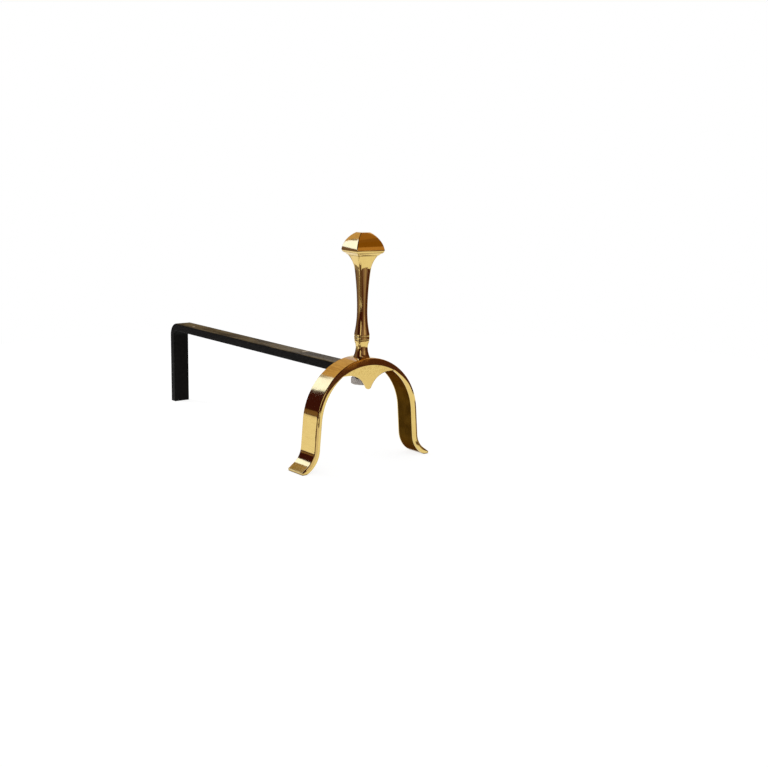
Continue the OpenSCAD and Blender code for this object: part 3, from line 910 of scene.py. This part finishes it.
# ---- Camera, fitted to the photo's outlines of arch, post and bar ----
CAMERA_AT = Vector((-0.9477, -1.2463 + AXIS_Y, 0.4054))
AZIMUTH, DIP, ROLL = radians(38.35), radians(10.797), radians(0.984)
LENS, SENSOR = 56.59, 36
ahead = Vector((sin(AZIMUTH) * cos(DIP), cos(AZIMUTH) * cos(DIP), -sin(DIP)))
right = Vector((cos(AZIMUTH), -sin(AZIMUTH), 0))
up = right.cross(ahead)
tilted_right = right * cos(ROLL) + up * sin(ROLL)
tilted_up = up * cos(ROLL) - right * sin(ROLL)
camera_data = bpy.data.cameras.new("camera")
camera_data.lens = LENS
camera_data.sensor_width = SENSOR
camera = bpy.data.objects.new("camera", camera_data)
bpy.context.scene.collection.objects.link(camera)
camera.matrix_world = Matrix.Translation(CAMERA_AT) @ Matrix((
    (tilted_right.x, tilted_up.x, -ahead.x, 0),
    (tilted_right.y, tilted_up.y, -ahead.y, 0),
    (tilted_right.z, tilted_up.z, -ahead.z, 0),
    (0, 0, 0, 1)))
bpy.context.scene.camera = camera

# ---- Studio: a white table, softboxes, and a dark room that only the metal sees ----
# In metres and degrees. Azimuth 0 is +Y, towards the fire, and 90 is +X.
FLOOR_R, ROOM_R, ROOM_H = 1.2, 1.35, 1.5
GROUND_Z, MAT_Z, PATCH_Z = -0.02, 0.001, ROOM_H - 0.02
# Distances of the panels: most of them, those at the back left, and those close in front
PANEL_R, SHADE_R, FRONT_R, STRIPE_R = ROOM_R - 0.05, 0.8, 0.5, 0.49
DISC_SIDES, STRIP_STEP = 72, 4
# The background's strength where it is seen, and as a light
SEEN_WHITE, SKY = 1, 0.55
FLOOR_PAINT, FLOOR_GLOW, FLOOR_TINT = 0.85, 0.84, 0.3
STREAKS = (4, 4, 22)  # how dense a streaked glow is along each axis
LAMP_COLOUR, LAMP_AIM = (1, 0.98, 0.95), 0.15
DARK, DARK_BROWN, MAT_BROWN = (0.05, 0.01, 0.01), (0.09, 0.03, 0.02), (0.14, 0.08, 0.06)
EDGE_GLOW = (0.95, 0.68, 0.5)


def seen_ray(tree):
    """1 for the rays that should meet a white background: camera, glossy and transmission."""
    path = tree.nodes.new("ShaderNodeLightPath")
    total = path.outputs["Is Camera Ray"]
    for kind in ("Is Glossy Ray", "Is Transmission Ray"):
        join = tree.nodes.new("ShaderNodeMath")
        join.operation = "MAXIMUM"
        tree.links.new(total, join.inputs[0])
        tree.links.new(path.outputs[kind], join.inputs[1])
        total = join.outputs[0]
    return total


def white_world():
    """A background that is white where it is seen, and dimmer as a light."""
    world = bpy.data.worlds.new("studio")
    bpy.context.scene.world = world
    world.use_nodes = True
    tree = world.node_tree
    strength = tree.nodes.new("ShaderNodeMapRange")
    tree.links.new(seen_ray(tree), strength.inputs["Value"])
    strength.inputs["To Min"].default_value = SKY
    strength.inputs["To Max"].default_value = SEEN_WHITE
    tree.nodes["Background"].inputs["Color"].default_value = (1, 1, 1, 1)
    tree.links.new(strength.outputs[0], tree.nodes["Background"].inputs["Strength"])


def floor_material():
    """Nearly white with a pale shadow where it is seen, and white paint to diffuse rays."""
    material = bpy.data.materials.new("white_table")
    material.use_nodes = True
    tree = material.node_tree
    tree.nodes.remove(tree.nodes["Principled BSDF"])
    paint = tree.nodes.new("ShaderNodeBsdfDiffuse")
    paint.inputs["Color"].default_value = (FLOOR_PAINT, FLOOR_PAINT, FLOOR_PAINT, 1)
    shade = tree.nodes.new("ShaderNodeBsdfDiffuse")
    shade.inputs["Color"].default_value = (FLOOR_TINT, FLOOR_TINT, FLOOR_TINT, 1)
    glow = tree.nodes.new("ShaderNodeEmission")
    glow.inputs["Strength"].default_value = FLOOR_GLOW
    both = tree.nodes.new("ShaderNodeAddShader")
    tree.links.new(shade.outputs[0], both.inputs[0])
    tree.links.new(glow.outputs[0], both.inputs[1])
    choice = tree.nodes.new("ShaderNodeMixShader")
    tree.links.new(seen_ray(tree), choice.inputs[0])
    tree.links.new(paint.outputs[0], choice.inputs[1])
    tree.links.new(both.outputs[0], choice.inputs[2])
    tree.links.new(choice.outputs[0], tree.nodes["Material Output"].inputs[0])
    return material


def glow_material(name, colour, streak=None):
    """A plain glow, or one that varies in soft level streaks towards a second colour."""
    material = bpy.data.materials.new(name)
    material.use_nodes = True
    tree = material.node_tree
    tree.nodes.remove(tree.nodes["Principled BSDF"])
    glow = tree.nodes.new("ShaderNodeEmission")
    glow.inputs["Color"].default_value = (*colour, 1)
    if streak:
        place = tree.nodes.new("ShaderNodeTexCoord")
        squash = tree.nodes.new("ShaderNodeMapping")
        squash.inputs["Scale"].default_value = STREAKS
        cloud = tree.nodes.new("ShaderNodeTexNoise")
        cloud.inputs["Scale"].default_value = 1
        mix = tree.nodes.new("ShaderNodeMix")
        mix.data_type = "RGBA"
        mix.inputs[MIX_FIRST].default_value = (*colour, 1)
        mix.inputs[MIX_SECOND].default_value = (*streak, 1)
        tree.links.new(place.outputs["Object"], squash.inputs["Vector"])
        tree.links.new(squash.outputs[0], cloud.inputs["Vector"])
        tree.links.new(cloud.outputs["Fac"], mix.inputs[MIX_AMOUNT])
        tree.links.new(mix.outputs[MIX_RESULT], glow.inputs["Color"])
    tree.links.new(glow.outputs[0], tree.nodes["Material Output"].inputs[0])
    return material


def stage_mesh(name, points, faces, material):
    """A part of the studio, placed about the post's foot."""
    mesh = bpy.data.meshes.new(name)
    mesh.from_pydata([(x, y + AXIS_Y, z) for x, y, z in points], [], faces)
    mesh.materials.append(material)
    item = bpy.data.objects.new(name, mesh)
    bpy.context.scene.collection.objects.link(item)
    return item


def compass(azimuth, radius, z):
    """A point at an azimuth and a distance from the post's foot."""
    return (radius * sin(radians(azimuth)), radius * cos(radians(azimuth)), z)


def only_in_reflections(item):
    """Hides a part of the studio from all but glossy rays."""
    item.visible_camera = False
    item.visible_diffuse = False
    item.visible_shadow = False
    item.visible_transmission = False


def disc(name, radius, z, material):
    """A level disc that faces up."""
    ring = [compass(a, radius, z) for a in steps(360, 0, DISC_SIDES)[:-1]]
    return stage_mesh(name, ring, [tuple(range(DISC_SIDES))], material)


def ribbon(name, west, east, edges, material):
    """A strip between two azimuths, whose two edges are (distance, z), seen in reflections."""
    count = max(2, int(abs(east - west) / STRIP_STEP))
    points = [compass(a, *edge) for a in steps(west, east, count) for edge in edges]
    faces = [(2 * i, 2 * i + 2, 2 * i + 3, 2 * i + 1) for i in range(count)]
    only_in_reflections(stage_mesh(name, points, faces, material))


def panel(name, west, east, low, high, colour, radius=PANEL_R, streak=None):
    """An upright ribbon between two heights."""
    edges = ((radius, low), (radius, high))
    ribbon(name, west, east, edges, glow_material(name, colour, streak))


def level_patch(name, west, east, near, far, colour, height=PATCH_Z):
    """A level ribbon between two distances."""
    ribbon(name, west, east, ((near, height), (far, height)), glow_material(name, colour))


def card(name, corners, colour):
    """A flat card with four corners, seen only in reflections."""
    only_in_reflections(stage_mesh(name, corners, [(0, 1, 2, 3)], glow_material(name, colour)))


def upright_card(name, start, end, low, high, colour):
    """A card between two places (x, y) and two heights."""
    card(name, [(*start, low), (*end, low), (*end, high), (*start, high)], colour)


def floor_mat(name, places, colour):
    """A card on the floor, with its corners at four places (x, y)."""
    card(name, [(x, y, MAT_Z) for x, y in places], colour)


def softbox(name, azimuth, distance, height, size, radiance):
    """A rectangular area light of a width and height, aimed low on the post's axis."""
    data = bpy.data.lights.new(name, "AREA")
    data.shape = "RECTANGLE"
    data.size, data.size_y = size
    data.energy = radiance * pi * size[0] * size[1]
    data.color = LAMP_COLOUR
    item = bpy.data.objects.new(name, data)
    bpy.context.scene.collection.objects.link(item)
    x, y, z = compass(azimuth, distance, height)
    item.location = (x, y + AXIS_Y, z)
    gaze = Vector((-x, -y, LAMP_AIM - z))
    item.rotation_euler = gaze.to_track_quat("-Z", "Y").to_euler()
    item.visible_camera = False
    item.visible_glossy = False


def build_studio():
    """Table, room and lamps, and then the parts that give the brass its light and dark."""
    white_world()
    disc("floor", FLOOR_R, 0, floor_material())
    for name, height in (("ceiling", ROOM_H), ("ground", GROUND_Z)):
        only_in_reflections(disc(name, ROOM_R, height, glow_material(name, DARK)))
    panel("dark_room", 80, 388, 0, ROOM_H, DARK, ROOM_R)
    panel("dark_over_sweep", 28, 80, 0.6, ROOM_H, DARK, ROOM_R)
    softbox("key", azimuth=-18.5, distance=1.1, height=0.6, size=(0.42, 0.55), radiance=4.3)
    softbox("fill", azimuth=-137, distance=1.2, height=1.2, size=(0.5, 0.35), radiance=2.4)
    # Bright and golden parts
    upright_card("window", (-0.62, 1.1), (-0.222, 1.1), 0.46, 1.05, (1.45, 1.8, 3.3))
    panel("table_far", -60, -25, 0, 0.05, (0.95, 0.92, 0.95))
    panel("golden_wall", -14, 29, 0.58, 1.3, (0.86, 0.62, 0.33), streak=(0.5, 0.3, 0.13))
    upright_card("toe_brown", (-0.27, 1.09), (-0.18, 1.09), 0.78, 0.92, (0.32, 0.25, 0.13))
    upright_card("toe_card", (-0.118, -0.1), (-0.07, -0.1), 0.006, 0.045, (0.85, 0.8, 0.85))
    panel("soft_left", 198, 238, 0.25, 0.9, (0.95, 0.88, 0.8))
    panel("edge_light", 38, 88, 0.85, ROOM_H, EDGE_GLOW)
    level_patch("edge_over", 38, 96, 0.8, 1.34, EDGE_GLOW)
    panel("pale_wall", 29, 45, 0.6, 0.8, (0.7, 0.58, 0.68))
    # Shades at the back left
    panel("shade_low", -31, -10, 0, 0.1, (0.3, 0.25, 0.24), SHADE_R)
    panel("shade", -31, -10, 0.1, 0.3, (0.17, 0.11, 0.1), SHADE_R)
    panel("shade_high", -31, -10, 0.3, 0.39, (0.22, 0.14, 0.12), SHADE_R)
    panel("shade_left", -47, -31, 0.075, 0.14, (0.22, 0.13, 0.07), SHADE_R)
    # Warm walls at the front right, and stripes close in front
    panel("warm_table", 100, 165, 0.28, 0.42, (0.68, 0.36, 0.13))
    panel("warm_low", 100, 165, 0.42, 0.85, (0.55, 0.28, 0.09))
    panel("warm_high", 90, 165, 0.85, ROOM_H, (0.27, 0.11, 0.01))
    panel("front_high", 165, 195, 0.3, 0.66, (0.96, 0.9, 1.2))
    panel("front_dark", 100, 150, 0.08, 0.33, DARK_BROWN, FRONT_R)
    panel("front_brown", 150, 170, 0.04, 0.27, (0.25, 0.16, 0.16), FRONT_R)
    panel("front_stripe", 155, 161, 0.04, 0.16, (0.42, 0.32, 0.26), STRIPE_R)
    panel("front_light", 155, 161, 0.16, 0.27, (0.66, 0.52, 0.45), STRIPE_R)
    panel("front_line", 150, 190, 0.27, 0.33, DARK_BROWN, FRONT_R)
    panel("front_left", 170, 190, 0.04, 0.27, DARK_BROWN, FRONT_R)
    level_patch("warm_over", 96, 165, 0.9, 1.34, (0.28, 0.12, 0.02))
    level_patch("warm_top", 60, 165, 0.2, 0.9, (0.38, 0.17, 0.03))
    # On the floor
    level_patch("arris_mat", -150, -62, 0.26, 1.2, MAT_BROWN, MAT_Z)
    level_patch("arris_mat_front", -172, -150, 0.6, 1.2, MAT_BROWN, MAT_Z)
    level_patch("arris_mat_far", -62, -49, 0.36, 1.2, MAT_BROWN, MAT_Z)
    neck_corners = ((-31, 0.2), (-46, 0.2), (-38.5, 0.95), (-31, 0.95))
    floor_mat("neck_mat", [compass(*c, 0)[:2] for c in neck_corners], (0.3, 0.22, 0.16))
    floor_mat("left_mat", [(-0.105, -0.6), (-0.05, -0.6), (-0.055, -0.16), (-0.105, -0.16)],
              DARK_BROWN)
    floor_mat("right_mat", [(0.12, -0.075), (0.65, -0.21), (0.65, -0.11), (0.12, -0.005)],
              DARK_BROWN)
    upright_card("right_card", (0.2, -0.12), (0.2, 0), 0.002, 0.028, (0.28, 0.2, 0.12))


build_studio()

bpy.context.scene.view_settings.view_transform = "Standard"
